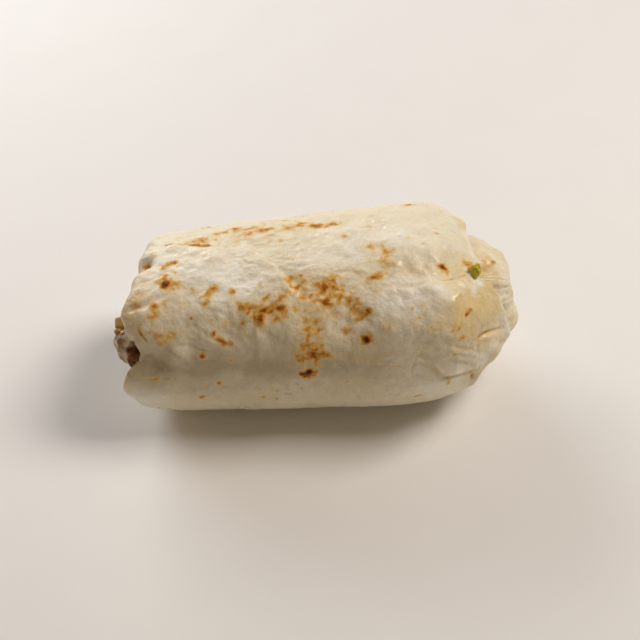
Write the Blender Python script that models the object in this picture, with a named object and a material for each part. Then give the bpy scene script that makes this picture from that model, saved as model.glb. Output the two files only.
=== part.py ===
"""A burrito: one flour tortilla rolled round its filling and tucked in at both ends.

The roll lies along X with its flat underside on z = 0. Angles round the roll are in degrees:
0 is the back (+Y), 90 the top, 180 the front (-Y) and 270 the underside. Lengths are in metres.
The tortilla is one sheet: its wall, its lipped left mouth and the tucked-in bulge at the right end
are one solid, hollow inside and open at the mouth, where the filling shows.
"""

import math

import bpy
import bmesh
import numpy as np
from mathutils import Matrix

MM = 0.001

# The roll: half sizes at its middle, and how much fatter it gets towards +X for each metre.
HALF_WIDTH = 37.4 * MM
HALF_HEIGHT = 36.0 * MM
GROWTH = 1.35
SQUARENESS = 2.5
FLAT_DEPTH = 1.1 * MM

# Where the wall starts to close at each end, over what length, and how roundly.
LEFT_START, LEFT_LENGTH, LEFT_POWER = -60 * MM, 34 * MM, 2.2
TOP_START, TOP_LENGTH, TOP_POWER = 45 * MM, 42 * MM, 1.1
SIDE_START, SIDE_LENGTH, SIDE_POWER = 46 * MM, 40 * MM, 1.35
UNDER_START, UNDER_LENGTH, UNDER_POWER = 46 * MM, 39 * MM, 1.4
LIFT_START, LIFT_LENGTH, LIFT_POWER = -54 * MM, 31 * MM, 1.9
# Over what distance each closing starts gently, and how far it may close.
SOFTEN = 5 * MM
CLOSE_LIMIT = 0.97

# Thickness: two layers along the wall, one at the open edges.
WALL = 4.6 * MM
SHEET = 2.4 * MM
GAP = 0.5 * MM
# How many gaps the filling stays clear of the mouth's lip, the left face and the end of the wall.
MOUTH_CLEARANCE, FACE_CLEARANCE, WALL_CLEARANCE = 3, 5, 6

# The free edge of the sheet: (x in mm, angle) along it, and (x in mm, height in mm) of its step.
SEAM_PATH = ((-70, 69), (-40, 79), (-26, 88), (-8, 128), (22, 128), (46, 125), (54, 118), (62, 114))
SEAM_STEP = (
    (-70, 0.5), (-42, 0.8), (-34, 0.3), (-24, 1.4), (-9, 1.5), (0, 0.6), (12, 0.1), (28, 0.2),
    (44, 1.4), (60, 1.7),
)
SEAM_WIDTH = 2.6 * MM
SEAM_FADE = 26 * MM
SLOPE_STEP = 0.5 * MM
TROUGH_DEPTH = 2.4 * MM
TROUGH_WIDTH = 6.5 * MM
TROUGH_START, TROUGH_FULL = 20 * MM, 50 * MM

# Dents and swellings on the wall: (x in mm, angle, height in mm, length in mm, width in mm).
SWELLINGS = (
    (-70, 88, -3.2, 4, 4),
    (-58, 122, 0.9, 10, 8),
    (-68, 158, -1.6, 6, 8),
    (-66, 186, 1.2, 8, 9),
    (40, 99, 1.0, 12, 10),
    (46, 186, 1.5, 6, 6),
    (36, 172, -1.3, 5, 10),
    (55, 200, -1.2, 6, 4),
    (50, 150, 1.4, 12, 9),
    (45, 216, -2.4, 11, 12),
    (62, 172, 1.0, 8, 8),
    (-10, 172, 0.7, 24, 10),
    (26, 148, 1.3, 22, 9),
    (14, 60, 0.8, 20, 12),
    (-25, 30, 0.8, 16, 12),
    (35, 15, -1.0, 10, 9),
)

# The left end: how far its edge reaches at each angle (angle, x in mm), and the open mouth in it.
LEFT_EDGE = (
    (20, -70), (60, -69), (76, -71.5), (88, -70), (100, -73), (122, -77.3), (133, -76.2),
    (144, -72.4), (154, -71.4), (163, -72.6), (176, -79), (190, -82.5), (206, -77), (230, -71.5),
    (265, -70.5), (300, -72.5), (335, -73.5),
)
LEFT_WALL_END = -61 * MM
CORNER_STATION = -68 * MM
CORNER_PUSH = 2.2 * MM
CORNER_WEIGHT = 1.7
MOUTH_Y, MOUTH_Z = -13.5 * MM, 40 * MM
MOUTH_HALF_WIDTH, MOUTH_HALF_HEIGHT = 15.5 * MM, 10.5 * MM
# How far the lip of the mouth lies behind that edge (angle, mm).
MOUTH_SINK = (
    (90, 2.2), (120, 2.0), (135, 1.5), (150, 1.0), (165, 3.5), (178, 8.0), (192, 9.0), (208, 5.0),
    (235, 2.2),
)
LIP_ROUND = 0.06
INNER_LIMIT = -62 * MM
# Rings on the inside of the left face: share of the way in to the mouth, and mm behind the face.
INNER_FACE = ((0.12, 10.7), (0.45, 6.5), (0.8, 4.2), (1.0, 2.2))

# The right end: how far the rim of the wall reaches (angle, x in mm), and the bulge tucked into it.
RIGHT_EDGE = (
    (30, 60), (60, 59), (74, 58.5), (90, 59), (100, 60.5), (107, 57.8), (113, 55.2), (119, 59.5),
    (126, 65), (138, 68), (154, 70.5), (170, 72.5), (183, 72.8), (195, 66), (206, 60), (222, 57),
    (250, 58), (300, 60), (340, 61),
)
RIM_SINK = 5.5 * MM
LIP_DROP = 0.3 * MM
# How far the groove behind the rim lies inside it (angle, mm), and where the bulge starts (angle, x in mm).
GROOVE_INSET = ((30, 2.4), (60, 3.2), (95, 3.2), (115, 3.8), (150, 5.4), (180, 5.0), (205, 3.0), (250, 1.6))
BULGE_START = ((30, 53), (95, 51.5), (120, 53), (150, 58), (175, 60), (205, 55), (250, 52))
BULGE_TIP, BULGE_Y, BULGE_Z = 79.2 * MM, 8 * MM, 35.5 * MM
BULGE_POWER, BULGE_EVEN = 0.85, 0.22
LOBE_X, LOBE_Y, LOBE_Z = 71.5 * MM, -1 * MM, 28 * MM
LOBE_LENGTH, LOBE_WIDTH = 10.4 * MM, 9.5 * MM

# The filling: how far it reaches inside, and the lump of it that pokes out of the mouth.
HOLLOW_END = 50 * MM
HOLLOW_DOME = 3 * MM
LUMP_Y, LUMP_Z = -16.6 * MM, 37.3 * MM
LUMP_HALF_WIDTH, LUMP_HALF_HEIGHT = 8.0 * MM, 6.6 * MM
LUMP_TIP = -82.0 * MM
NECK_X = -71.0 * MM
LUMP_PROFILE = ((0.0, 0.82), (0.35, 1.0), (0.65, 0.92), (0.88, 0.6))

# A strip of cheese on top of the lump, and a bit of green pepper in the notch of the right rim.
STRIP_LENGTH, STRIP_WIDTH, STRIP_HEIGHT = 22 * MM, 5.0 * MM, 3.4 * MM
STRIP_END, STRIP_Y, STRIP_Z, STRIP_TILT = -81.4 * MM, -10.8 * MM, 43.2 * MM, 14
PEPPER_SIZE = (4.2 * MM, 4.4 * MM, 6.6 * MM)
PEPPER_X, PEPPER_ANGLE, PEPPER_SINK = 58.8 * MM, 116, 0.5 * MM
PEPPER_TURNS = (24, 12, 30)
POCKET_GAP = 0.35 * MM
BEVEL_SHARE, BEVEL_SEGMENTS = 0.22, 2

# How finely the solids are divided.
AROUND = 48
WALL_RINGS = 34
HOLLOW_RINGS = 9
FACE_RINGS = 6
BULGE_RINGS = 7
# The first and last ring of the bulge, as shares of the way from its groove to its tip.
BULGE_FIRST, BULGE_LAST = 0.1, 0.88

# Centres the finished burrito on the origin.
SHIFT_X, SHIFT_Y = 0.6 * MM, 0.65 * MM

COLOURS = {
    "tortilla": ((0.72, 0.60, 0.44), 0.62),
    "filling": ((0.42, 0.30, 0.19), 0.50),
    "cheese_strip": ((0.62, 0.42, 0.18), 0.45),
    "pepper_bit": ((0.30, 0.34, 0.03), 0.25),
}


def shoulder(distance, length, power):
    """1 until distance passes 0, then closing like a rounded shoulder over the length."""
    distance = (distance + np.hypot(distance, SOFTEN)) / 2
    share = np.clip(distance / length, 0, CLOSE_LIMIT)
    return (1 - share**power) ** (1 / power)


def eased(knots, places, period=None):
    """A smooth curve through (place, value) knots, level at each knot."""
    where = np.array([knot[0] for knot in knots], float)
    value = np.array([knot[1] for knot in knots], float)
    if period:
        where = np.concatenate([where, [where[0] + period]])
        value = np.concatenate([value, [value[0]]])
        places = (np.asarray(places, float) - where[0]) % period + where[0]
    index = np.clip(np.searchsorted(where, places, side="right") - 1, 0, len(where) - 2)
    share = np.clip((places - where[index]) / (where[index + 1] - where[index]), 0, 1)
    share = share * share * (3 - 2 * share)
    return value[index] + (value[index + 1] - value[index]) * share


def straight(knots, places):
    """A curve of straight stretches through (place, value) knots."""
    return np.interp(places, [knot[0] for knot in knots], [knot[1] for knot in knots])


def half_sizes(x):
    """Half width, half height above the middle and half height below it, at a station x."""
    girth = 1 + GROWTH * x
    left = shoulder(LEFT_START - x, LEFT_LENGTH, LEFT_POWER)
    side = HALF_WIDTH * girth * left * shoulder(x - SIDE_START, SIDE_LENGTH, SIDE_POWER)
    top = HALF_HEIGHT * girth * left * shoulder(x - TOP_START, TOP_LENGTH, TOP_POWER)
    under = HALF_HEIGHT * girth * shoulder(LIFT_START - x, LIFT_LENGTH, LIFT_POWER)
    under = under * shoulder(x - UNDER_START, UNDER_LENGTH, UNDER_POWER)
    return side, top, under


def middle_height(x):
    return HALF_HEIGHT * (1 + GROWTH * x) - FLAT_DEPTH


def section(x, angles, inset=0.0, lift=0.0):
    """Points of the plain roll at stations x and angles, inset from its skin, raised by lift."""
    side, top, under = half_sizes(x)
    turn = np.radians(angles)
    across = np.cos(turn)
    upward = np.sin(turn)
    height = np.where(upward > 0, top, under) - inset
    reach = (np.abs(across / (side - inset)) ** SQUARENESS
             + np.abs(upward / height) ** SQUARENESS) ** (-1 / SQUARENESS)
    reach = reach + lift
    return reach * across, middle_height(x) + reach * upward


def seam_distance(x, angles):
    """Distance in front of the sheet's free edge, in metres, measured square to the edge."""
    seam = straight(SEAM_PATH, x / MM)
    ahead = straight(SEAM_PATH, (x + SLOPE_STEP) / MM)
    behind = straight(SEAM_PATH, (x - SLOPE_STEP) / MM)
    slope = np.radians(ahead - behind) / (2 * SLOPE_STEP) * HALF_WIDTH
    return np.radians(angles - seam) * HALF_WIDTH / np.sqrt(1 + slope**2)


def relief(x, angles):
    """How far the skin stands proud of the plain roll."""
    gap = seam_distance(x, angles)
    step = eased(SEAM_STEP, x / MM) * MM
    lift = step * np.clip(gap / SEAM_WIDTH + 0.5, 0, 1) * np.exp(-(gap / SEAM_FADE) ** 2)
    deep = np.clip((x - TROUGH_START) / (TROUGH_FULL - TROUGH_START), 0, 1)
    lift -= TROUGH_DEPTH * deep * np.exp(-((gap + TROUGH_WIDTH) / TROUGH_WIDTH) ** 2)
    for place, angle, height, length, width in SWELLINGS:
        along = (x / MM - place) / length
        round_it = np.radians((angles - angle + 180) % 360 - 180) * HALF_WIDTH / (width * MM)
        lift += height * MM * np.exp(-(along**2) - round_it**2)
    under = np.clip(-np.sin(np.radians(angles)), 0, 1)
    return lift * (1 - under**2)


def wall(x, angles):
    """A ring of points on the outer skin."""
    y, z = section(x, angles, lift=relief(x, angles))
    return np.stack([x, y, np.maximum(z, 0)], axis=1)


def left_face(angles):
    """Rings from the end of the wall, round the corner and in to the lip of the mouth."""
    edge = eased(LEFT_EDGE, angles, 360) * MM
    start = wall(np.full_like(angles, LEFT_WALL_END), angles)
    corner = wall(np.full_like(angles, CORNER_STATION), angles)
    corner[:, 0] = edge - CORNER_PUSH
    lip = mouth_ring(angles)
    rings = []
    for share in np.linspace(0, 1, FACE_RINGS + 1)[1:]:
        first, second, third = (1 - share) ** 2, 2 * CORNER_WEIGHT * share * (1 - share), share**2
        point = (first * start + second * corner + third * lip) / (first + second + third)
        point[:, 2] = np.maximum(point[:, 2], 0)
        rings.append(point)
    return rings


def bulge_ring(groove, angles, share):
    """A ring of the bulge, a share of the way from the groove to its tip, with its small second lobe."""
    turn = share * math.pi / 2
    pole = np.array([BULGE_TIP, BULGE_Y, BULGE_Z])
    point = pole + (groove - pole) * math.cos(turn) ** BULGE_POWER
    even = eased(BULGE_START, angles, 360) * MM
    start = groove[:, 0] + (even - groove[:, 0]) * min(1, share / BULGE_EVEN)
    point[:, 0] = start + (BULGE_TIP - start) * math.sin(turn)
    away = np.hypot(point[:, 1] - LOBE_Y, point[:, 2] - LOBE_Z) / LOBE_WIDTH
    lobe = LOBE_X + LOBE_LENGTH * np.sqrt(np.clip(1 - away**2, 0, 1))
    point[:, 0] = np.where(away < 1, np.maximum(point[:, 0], lobe), point[:, 0])
    return point


def right_end(angles):
    """Rings over the rim, down into the groove behind it and out over the bulge, and its pole."""
    edge = eased(RIGHT_EDGE, angles, 360) * MM
    rim = wall(edge, angles)
    middle = np.array([0, rim[:, 1].mean(), rim[:, 2].mean()])
    inward = middle - rim
    inward[:, 0] = 0
    inward /= np.linalg.norm(inward, axis=1)[:, None]
    lip = rim + inward * SHEET
    lip[:, 0] = edge - LIP_DROP
    groove = lip + inward * (eased(GROOVE_INSET, angles, 360) * MM)[:, None]
    groove[:, 0] = edge - RIM_SINK
    rings = [rim, lip, groove]
    for share in np.linspace(BULGE_FIRST, BULGE_LAST, BULGE_RINGS):
        rings.append(bulge_ring(groove, angles, share))
    return rings, np.array([BULGE_TIP, BULGE_Y, BULGE_Z])


def hollow_rings(angles, gap=0.0):
    """Rings of the hollow, from its closed right end to the mouth, drawn in by a gap for what fills it."""
    rings = []
    for x in np.linspace(HOLLOW_END - gap, LEFT_WALL_END + WALL_CLEARANCE * gap, HOLLOW_RINGS):
        place = np.full_like(angles, x)
        y, z = section(place, angles, inset=WALL + gap)
        rings.append(np.stack([place, y, np.maximum(z, WALL + gap)], axis=1))
    mouth = mouth_ring(angles, gap)
    start = rings[-1]
    edge, lip = eased(LEFT_EDGE, angles, 360) * MM, mouth[:, 0]
    for share, behind in INNER_FACE:
        point = start * (1 - share) + mouth * share
        face = edge * (1 - share) + lip * share
        point[:, 0] = np.minimum(face + behind * MM, INNER_LIMIT) + FACE_CLEARANCE * gap
        rings.append(point)
    return rings


def mouth_ring(angles, gap=0.0):
    """The open mouth's outline, at the lip of the sheet."""
    turn = np.radians(angles)
    return np.stack([
        (eased(LEFT_EDGE, angles, 360) + eased(MOUTH_SINK, angles, 360)) * MM,
        MOUTH_Y + (MOUTH_HALF_WIDTH - MOUTH_CLEARANCE * gap) * np.cos(turn),
        MOUTH_Z + (MOUTH_HALF_HEIGHT - MOUTH_CLEARANCE * gap) * np.sin(turn),
    ], axis=1)


def skin(name, rings, first_pole, last_pole):
    """A closed mesh object through the rings, with a fan to a pole at each end."""
    mesh = bmesh.new()
    rows = [[mesh.verts.new(point) for point in ring] for ring in rings]
    for near, far in zip(rows, rows[1:]):
        for index in range(len(near)):
            after = (index + 1) % len(near)
            mesh.faces.new((near[index], near[after], far[after], far[index]))
    for pole, row in ((first_pole, rows[0]), (last_pole, rows[-1])):
        tip = mesh.verts.new(pole)
        for index in range(len(row)):
            mesh.faces.new((row[index], row[(index + 1) % len(row)], tip))
    bmesh.ops.triangulate(mesh, faces=mesh.faces[:])
    bmesh.ops.recalc_face_normals(mesh, faces=mesh.faces[:])
    return finish(name, mesh)


def finish(name, mesh):
    """An object of the mesh, shaded smooth, in its own colour."""
    bmesh.ops.translate(mesh, verts=mesh.verts[:], vec=(SHIFT_X, SHIFT_Y, 0))
    data = bpy.data.meshes.new(name)
    mesh.to_mesh(data)
    mesh.free()
    data.shade_smooth()
    item = bpy.data.objects.new(name, data)
    bpy.context.collection.objects.link(item)
    if name in COLOURS:
        colour, roughness = COLOURS[name]
        material = bpy.data.materials.new(name)
        material.use_nodes = True
        shader = material.node_tree.nodes["Principled BSDF"]
        shader.inputs["Base Color"].default_value = (*colour, 1)
        shader.inputs["Roughness"].default_value = roughness
        shader.inputs["Metallic"].default_value = 0
        data.materials.append(material)
    return item


def make_tortilla(angles, face, hollow):
    wall_rings = []
    edge = eased(RIGHT_EDGE, angles, 360) * MM
    for share in np.linspace(0, 1, WALL_RINGS + 1)[:-1]:
        wall_rings.append(wall(LEFT_WALL_END + (edge - LEFT_WALL_END) * share, angles))
    end_rings, pole = right_end(angles)
    lip = (face[-1] + hollow[-1]) / 2
    lip[:, 1:] += ((MOUTH_Y, MOUTH_Z) - lip[:, 1:]) * LIP_ROUND
    inner_pole = hollow[0].mean(axis=0) + np.array([HOLLOW_DOME, 0, 0])
    rings = hollow + [lip] + face[::-1] + wall_rings + end_rings
    return skin("tortilla", rings, inner_pole, pole)


def make_filling(angles):
    body = hollow_rings(angles, GAP)
    turn = np.radians(angles)
    lump = []
    for share, girth in LUMP_PROFILE:
        lump.append(np.stack([
            np.full_like(angles, NECK_X + (LUMP_TIP - NECK_X) * share),
            LUMP_Y + LUMP_HALF_WIDTH * girth * np.cos(turn),
            LUMP_Z + LUMP_HALF_HEIGHT * girth * np.sin(turn),
        ], axis=1))
    tip = np.array([LUMP_TIP, LUMP_Y, LUMP_Z])
    return skin("filling", body + lump, body[0].mean(axis=0), tip)


def rounded_block(name, size, place, turns, grow=0.0):
    """A block with soft edges: size along X, Y and Z, turned about X, Y and Z in degrees."""
    mesh = bmesh.new()
    bmesh.ops.create_cube(mesh, size=1)
    bmesh.ops.scale(mesh, vec=[side + 2 * grow for side in size], verts=mesh.verts[:])
    bmesh.ops.bevel(mesh, geom=mesh.edges[:], offset=min(size) * BEVEL_SHARE, segments=BEVEL_SEGMENTS,
                    profile=0.5, affect="EDGES")
    for axis, degrees in zip("XYZ", turns):
        spin = Matrix.Rotation(math.radians(degrees), 3, axis)
        bmesh.ops.rotate(mesh, cent=(0, 0, 0), matrix=spin, verts=mesh.verts[:])
    bmesh.ops.translate(mesh, verts=mesh.verts[:], vec=place)
    bmesh.ops.triangulate(mesh, faces=mesh.faces[:])
    return finish(name, mesh)


def cut_pocket(target, cutter):
    """Cuts the cutter's shape out of the target."""
    cutter.hide_render = True
    cutter.display_type = "WIRE"
    pocket = target.modifiers.new("pocket", "BOOLEAN")
    pocket.operation = "DIFFERENCE"
    pocket.solver = "EXACT"
    pocket.object = cutter


def main():
    for item in list(bpy.data.objects):
        bpy.data.objects.remove(item, do_unlink=True)
    angles = np.arange(AROUND) * 360 / AROUND
    face = left_face(angles)
    tortilla = make_tortilla(angles, face, hollow_rings(angles))
    filling = make_filling(angles)

    strip_size = (STRIP_LENGTH, STRIP_WIDTH, STRIP_HEIGHT)
    strip_place = (STRIP_END + STRIP_LENGTH / 2, STRIP_Y, STRIP_Z)
    strip_turns = (STRIP_TILT, 0, 0)
    rounded_block("cheese_strip", strip_size, strip_place, strip_turns)
    strip_cutter = rounded_block("strip_pocket", strip_size, strip_place, strip_turns, POCKET_GAP)
    cut_pocket(filling, strip_cutter)

    nook = wall(np.array([PEPPER_X]), np.array([float(PEPPER_ANGLE)]))[0]
    pepper_place = tuple(nook - np.array([0, 0, PEPPER_SINK]))
    rounded_block("pepper_bit", PEPPER_SIZE, pepper_place, PEPPER_TURNS)
    pepper_cutter = rounded_block("pepper_pocket", PEPPER_SIZE, pepper_place, PEPPER_TURNS, POCKET_GAP)
    cut_pocket(tortilla, pepper_cutter)


main()
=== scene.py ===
"""The looks of a burrito: a toasted flour tortilla rolled round its filling, on a pale floor.

Every place is in the row's frame: +X along the roll, -Y the front, +Z up. Angles round the roll are
in degrees: 0 is the back, 90 the top, 180 the front. Lists of places along the roll hold millimetres
and degrees, because that is how a place on a rolled sheet is measured.
"""
import math

import bpy
import bmesh
import numpy as np
from mathutils import Euler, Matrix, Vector


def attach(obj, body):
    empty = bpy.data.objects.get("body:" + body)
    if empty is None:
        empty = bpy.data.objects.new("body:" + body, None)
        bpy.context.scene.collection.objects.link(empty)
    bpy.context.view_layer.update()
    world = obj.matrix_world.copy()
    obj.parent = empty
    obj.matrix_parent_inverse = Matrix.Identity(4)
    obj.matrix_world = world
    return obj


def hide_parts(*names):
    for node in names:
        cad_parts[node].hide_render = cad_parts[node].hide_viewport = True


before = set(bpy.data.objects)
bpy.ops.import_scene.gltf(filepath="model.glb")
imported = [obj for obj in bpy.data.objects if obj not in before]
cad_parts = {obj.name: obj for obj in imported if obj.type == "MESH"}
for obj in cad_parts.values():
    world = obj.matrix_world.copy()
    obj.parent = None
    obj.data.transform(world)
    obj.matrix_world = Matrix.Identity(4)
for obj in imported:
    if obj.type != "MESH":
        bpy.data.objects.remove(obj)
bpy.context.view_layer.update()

MM = 0.001

# ---------------- the roll, as the CAD makes it
HALF_WIDTH = 37.4 * MM
HALF_HEIGHT = 36.0 * MM
GROWTH = 1.35
SQUARENESS = 2.5
FLAT_DEPTH = 1.1 * MM
LEFT_START, LEFT_LENGTH, LEFT_POWER = -60 * MM, 34 * MM, 2.2
TOP_START, TOP_LENGTH, TOP_POWER = 45 * MM, 42 * MM, 1.1
SIDE_START, SIDE_LENGTH, SIDE_POWER = 46 * MM, 40 * MM, 1.35
UNDER_START, UNDER_LENGTH, UNDER_POWER = 46 * MM, 39 * MM, 1.4
LIFT_START, LIFT_LENGTH, LIFT_POWER = -54 * MM, 31 * MM, 1.9
SOFTEN = 5 * MM
WALL = 4.6 * MM
SHEET = 2.4 * MM
SHIFT_X, SHIFT_Y = 0.6 * MM, 0.65 * MM

SEAM_PATH = ((-70, 69), (-40, 79), (-26, 88), (-8, 128), (22, 128), (46, 125), (54, 118), (62, 114))
SEAM_STEP = (
    (-70, 0.5), (-42, 0.8), (-34, 0.3), (-24, 1.4), (-9, 1.5), (0, 0.6), (12, 0.1), (28, 0.2),
    (44, 1.4), (60, 1.7),
)
# (x in mm, width in mm) of the step: crisp along the slanting edge, soft where it lies flat.
SEAM_WIDTH = (
    (-70, 1.2), (-42, 1.2), (-28, 0.9), (-17, 0.9), (-11, 4), (0, 6), (40, 6), (52, 3), (60, 1.6),
)
SEAM_FADE = 26 * MM
# The free edge is a little wavy: (height in degrees, length in mm, phase).
SEAM_WAVES = ((0.9, 2.3, 0), (0.6, 1.1, 1))
TROUGH_DEPTH = 2.4 * MM
TROUGH_WIDTH = 6.5 * MM
TROUGH_START, TROUGH_FULL = 20 * MM, 50 * MM
# Dents and swellings: (x in mm, angle, height in mm, length in mm, width in mm).
SWELLINGS = (
    (-70, 88, -3.2, 4, 4),
    (-58, 122, 0.9, 10, 8),
    (-68, 158, -1.6, 6, 8),
    (-66, 186, 1.2, 8, 9),
    (40, 99, 1.0, 12, 10),
    (46, 186, 1.5, 6, 6),
    (36, 172, -1.3, 5, 10),
    (55, 200, -1.2, 6, 4),
    (50, 150, 1.4, 12, 9),
    (45, 216, -2.4, 11, 12),
    (62, 172, 1.0, 8, 8),
    (-10, 172, 0.7, 24, 10),
    (26, 148, 1.3, 22, 9),
    (14, 60, 0.8, 20, 12),
    (-25, 30, 0.8, 16, 12),
    (35, 15, -1.0, 10, 9),
)
# The left corner's place by angle, and how far the lip of the mouth lies behind it (angle, mm).
LEFT_EDGE = (
    (20, -70), (60, -69), (76, -71.5), (88, -70), (100, -73), (122, -77.3), (133, -76.2), (144, -72.4),
    (154, -71.4), (163, -72.6), (176, -79), (190, -82.5), (206, -77), (230, -71.5), (265, -70.5),
    (300, -72.5), (335, -73.5),
)
LEFT_WALL_END = -61 * MM
CORNER_PUSH = 2.2 * MM
CORNER_WEIGHT = 1.7
MOUTH_Y, MOUTH_Z = -13.5 * MM, 40 * MM
MOUTH_HALF_WIDTH, MOUTH_HALF_HEIGHT = 15.5 * MM, 10.5 * MM
MOUTH_SINK = (
    (90, 2.2), (120, 2.0), (135, 1.5), (150, 1.0), (165, 3.5), (178, 8.0), (192, 9.0), (208, 5.0),
    (235, 2.2),
)
# The inner side of the left face: (share of the way to the lip, mm behind the outer side).
INNER_FACE = ((0.12, 10.7), (0.45, 6.5), (0.8, 4.2), (1.0, 2.2))
HOLLOW_DEPTH, HOLLOW_RINGS, LIP_TURNS, LIP_SWELL = -30 * MM, 4, (30, 70, 110, 150), 1.0 * MM
# The right rim's place by angle, in mm.
RIGHT_EDGE = (
    (30, 60), (60, 59), (74, 58.5), (90, 59), (100, 60.5), (107, 57.8), (113, 55.2), (119, 59.5),
    (126, 65), (138, 68), (154, 70.5), (170, 72.5), (183, 72.8), (195, 66), (206, 60), (222, 57),
    (250, 58), (300, 60), (340, 61),
)
# The width of the rim's raised bead is also the width of its painted highlight.
RIM_SINK, RIM_SWELL, RIM_BEAD_AND_HIGHLIGHT_WIDTH = 5.5 * MM, 0.9 * MM, 1.2 * MM
# How far the groove behind the rim lies inside it (angle, mm), and where the bulge starts (angle, mm).
GROOVE_INSET = ((30, 2.4), (60, 3.2), (95, 3.2), (115, 3.8), (150, 5.4), (180, 5.0), (205, 3.0), (250, 1.6))
BULGE_START = ((30, 53), (95, 51.5), (120, 53), (150, 58), (175, 60), (205, 55), (250, 52))
BULGE_TIP, BULGE_Y, BULGE_Z = 79.2 * MM, 8 * MM, 35.5 * MM
BULGE_POWER, BULGE_EVEN = 0.85, 0.22
LOBE_X, LOBE_Y, LOBE_Z = 71.5 * MM, -1 * MM, 28 * MM
LOBE_LENGTH, LOBE_WIDTH = 10.4 * MM, 9.5 * MM

# The lattice behind the random relief is turned, so that it never lines up with the roll.
NOISE_TURN = np.array(Euler((0.6, 0.5, 0.7)).to_matrix())

# ---------------- how finely the sheet is divided
COLUMNS = 312
FACE_RINGS, WALL_RINGS, RIM_RINGS, GROOVE_RINGS, BULGE_RINGS = 38, 214, 5, 3, 36


def ease(share):
    """Smooth change from 0 to 1."""
    share = np.clip(share, 0, 1)
    return share * share * (3 - 2 * share)


def shoulder(distance, length, power):
    """1 until distance passes 0, then closing like a rounded shoulder over the length."""
    distance = (distance + np.hypot(distance, SOFTEN)) / 2
    share = np.clip(distance / length, 0, 0.97)
    return (1 - share**power) ** (1 / power)


def eased(knots, places, period=None):
    """A smooth curve through (place, value) knots, level at each knot."""
    where = np.array([knot[0] for knot in knots], float)
    value = np.array([knot[1] for knot in knots], float)
    if period:
        where = np.concatenate([where, [where[0] + period]])
        value = np.concatenate([value, [value[0]]])
        places = (np.asarray(places, float) - where[0]) % period + where[0]
    index = np.clip(np.searchsorted(where, places, side="right") - 1, 0, len(where) - 2)
    share = ease((places - where[index]) / (where[index + 1] - where[index]))
    return value[index] + (value[index + 1] - value[index]) * share


def straight(knots, places):
    """Straight lines through (place, value) knots."""
    return np.interp(places, [knot[0] for knot in knots], [knot[1] for knot in knots])


def grain(points, size, seed):
    """Smooth random numbers from -1 to 1 at points, changing over about size metres."""
    table = np.random.default_rng(seed).uniform(-1, 1, 4096)
    cell = points @ NOISE_TURN / size + 500
    low = np.floor(cell).astype(np.int64)
    part = ease(cell - low)
    total = np.zeros(len(points))
    for corner in np.ndindex(2, 2, 2):
        spot = low + corner
        pick = (spot[:, 0] * 73856093 ^ spot[:, 1] * 19349663 ^ spot[:, 2] * 83492791) % 4096
        weight = np.prod(np.where(corner, part, 1 - part), axis=1)
        total += weight * table[pick]
    return total


def rough(points, size, seed, layers=3):
    """Several sizes of grain laid over each other."""
    total = np.zeros(len(points))
    for layer in range(layers):
        total += grain(points, size / 2**layer, seed + layer) / 2**layer
    return total


# ---------------- the roll's surface
def half_sizes(x):
    """Half width, height of the top and height of the underside at x."""
    girth = 1 + GROWTH * x
    left = shoulder(LEFT_START - x, LEFT_LENGTH, LEFT_POWER)
    side = HALF_WIDTH * girth * left * shoulder(x - SIDE_START, SIDE_LENGTH, SIDE_POWER)
    top = HALF_HEIGHT * girth * left * shoulder(x - TOP_START, TOP_LENGTH, TOP_POWER)
    under = HALF_HEIGHT * girth * shoulder(LIFT_START - x, LIFT_LENGTH, LIFT_POWER)
    under = under * shoulder(x - UNDER_START, UNDER_LENGTH, UNDER_POWER)
    return side, top, under


def section(x, angles, inset=0.0, lift=0.0):
    """The (y, z) outline of the roll at x, a squared-off round."""
    side, top, under = half_sizes(x)
    turn = np.radians(angles)
    across = np.cos(turn)
    upward = np.sin(turn)
    blend = ease(upward / 0.16 + 0.5)
    height = under + (top - under) * blend - inset
    reach = (np.abs(across / (side - inset)) ** SQUARENESS
             + np.abs(upward / height) ** SQUARENESS) ** (-1 / SQUARENESS)
    reach = reach + lift
    middle = HALF_HEIGHT * (1 + GROWTH * x) - FLAT_DEPTH
    return reach * across, middle + reach * upward


def seam_distance(x, angles):
    """Distance in front of the sheet's free edge, measured square to the edge."""
    step = 0.5 * MM
    seam = straight(SEAM_PATH, x / MM)
    for height, length, phase in SEAM_WAVES:
        seam = seam + height * np.sin(x / (length * MM) + phase)
    slope = (straight(SEAM_PATH, (x + step) / MM) - straight(SEAM_PATH, (x - step) / MM)) / (2 * step)
    slope = np.radians(slope) * HALF_WIDTH
    return np.radians(angles - seam) * HALF_WIDTH / np.sqrt(1 + slope**2)


def relief(x, angles):
    """How far the skin stands proud of the plain roll: seam, trough, dents and swellings."""
    gap = seam_distance(x, angles)
    step = eased(SEAM_STEP, x / MM) * MM
    width = straight(SEAM_WIDTH, x / MM) * MM
    lift = step * ease(gap / width + 0.5) * np.exp(-(gap / SEAM_FADE) ** 2)
    lift -= 0.2 * step * np.exp(-((gap + 0.6 * width) / (0.5 * width)) ** 2)
    deep = np.clip((x - TROUGH_START) / (TROUGH_FULL - TROUGH_START), 0, 1)
    lift -= TROUGH_DEPTH * deep * np.exp(-((gap + TROUGH_WIDTH) / TROUGH_WIDTH) ** 2)
    for place, angle, height, length, width in SWELLINGS:
        along = (x / MM - place) / length
        round_it = np.radians((angles - angle + 180) % 360 - 180) * HALF_WIDTH / (width * MM)
        lift += height * MM * np.exp(-(along**2) - round_it**2)
    under = np.clip(-np.sin(np.radians(angles)), 0, 1)
    return lift * (1 - under**2)


def wall(x, angles):
    """Points on the skin of the roll."""
    y, z = section(x, angles, lift=relief(x, angles))
    return np.stack([x, y, z], axis=-1)


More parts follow.
